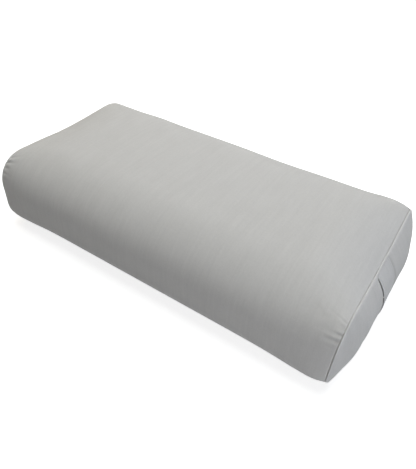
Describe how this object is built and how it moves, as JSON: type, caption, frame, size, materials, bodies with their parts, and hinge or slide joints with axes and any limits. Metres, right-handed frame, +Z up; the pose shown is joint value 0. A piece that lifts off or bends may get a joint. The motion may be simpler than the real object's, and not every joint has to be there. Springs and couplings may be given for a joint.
{
  "type": "yoga bolster",
  "caption": "Rectangular yoga bolster: a firm crowned cushion in a cotton cover, with domed ends, a cloth handle on each end and a zip along its rear side.",
  "frame": {"origin": "the middle of the flat underside that the bolster rests on", "axes": "+X along the length towards the right end, +Y towards the rear side that carries the zip, +Z up"},
  "size_m": [0.635, 0.3185, 0.1398],
  "materials": {
    "cover_cotton": "plain-woven cotton, warm light grey",
    "strap_cotton": "the cover's cotton, folded and stitched flat",
    "zip_tape": "woven tape, matte grey",
    "zip_coil": "satin nylon, grey",
    "zip_metal": "satin nickel",
    "liner_cotton": "undyed light cotton",
    "fibre": "lofted fibre, white",
    "foam": "open-cell foam, pale cream"
  },
  "bodies": {
    "bolster": {"cover_body_panel": "cover_cotton", "cover_end_panel_left": "cover_cotton", "cover_end_panel_right": "cover_cotton", "handle_left": "strap_cotton", "handle_right": "strap_cotton", "zip_tape_upper": "zip_tape", "zip_tape_lower": "zip_tape", "zip_coil_upper": "zip_coil", "zip_coil_lower": "zip_coil", "zip_bottom_stop": "zip_metal", "zip_top_stop_upper": "zip_metal", "zip_top_stop_lower": "zip_metal", "liner_body": "liner_cotton", "liner_end_left": "liner_cotton", "liner_end_right": "liner_cotton", "fibre_wrap": "fibre", "fibre_end_pad_left": "fibre", "fibre_end_pad_right": "fibre", "foam_core": "foam"},
    "slider": {"zip_slider": "zip_metal"},
    "pull_tab": {"zip_pull_tab": "zip_metal"}
  },
  "joints": [
    {"name": "zip_slide", "type": "slide", "parent": "bolster", "child": "slider", "axis": [-1, 0, 0], "range_m": [0, 0.3964]},
    {"name": "pull_tab_hinge", "type": "hinge", "parent": "slider", "child": "pull_tab", "pos_m": [0.1982, 0.1597, 0.06], "axis": [0, 0, -1], "range_deg": [0, 180]}
  ]
}
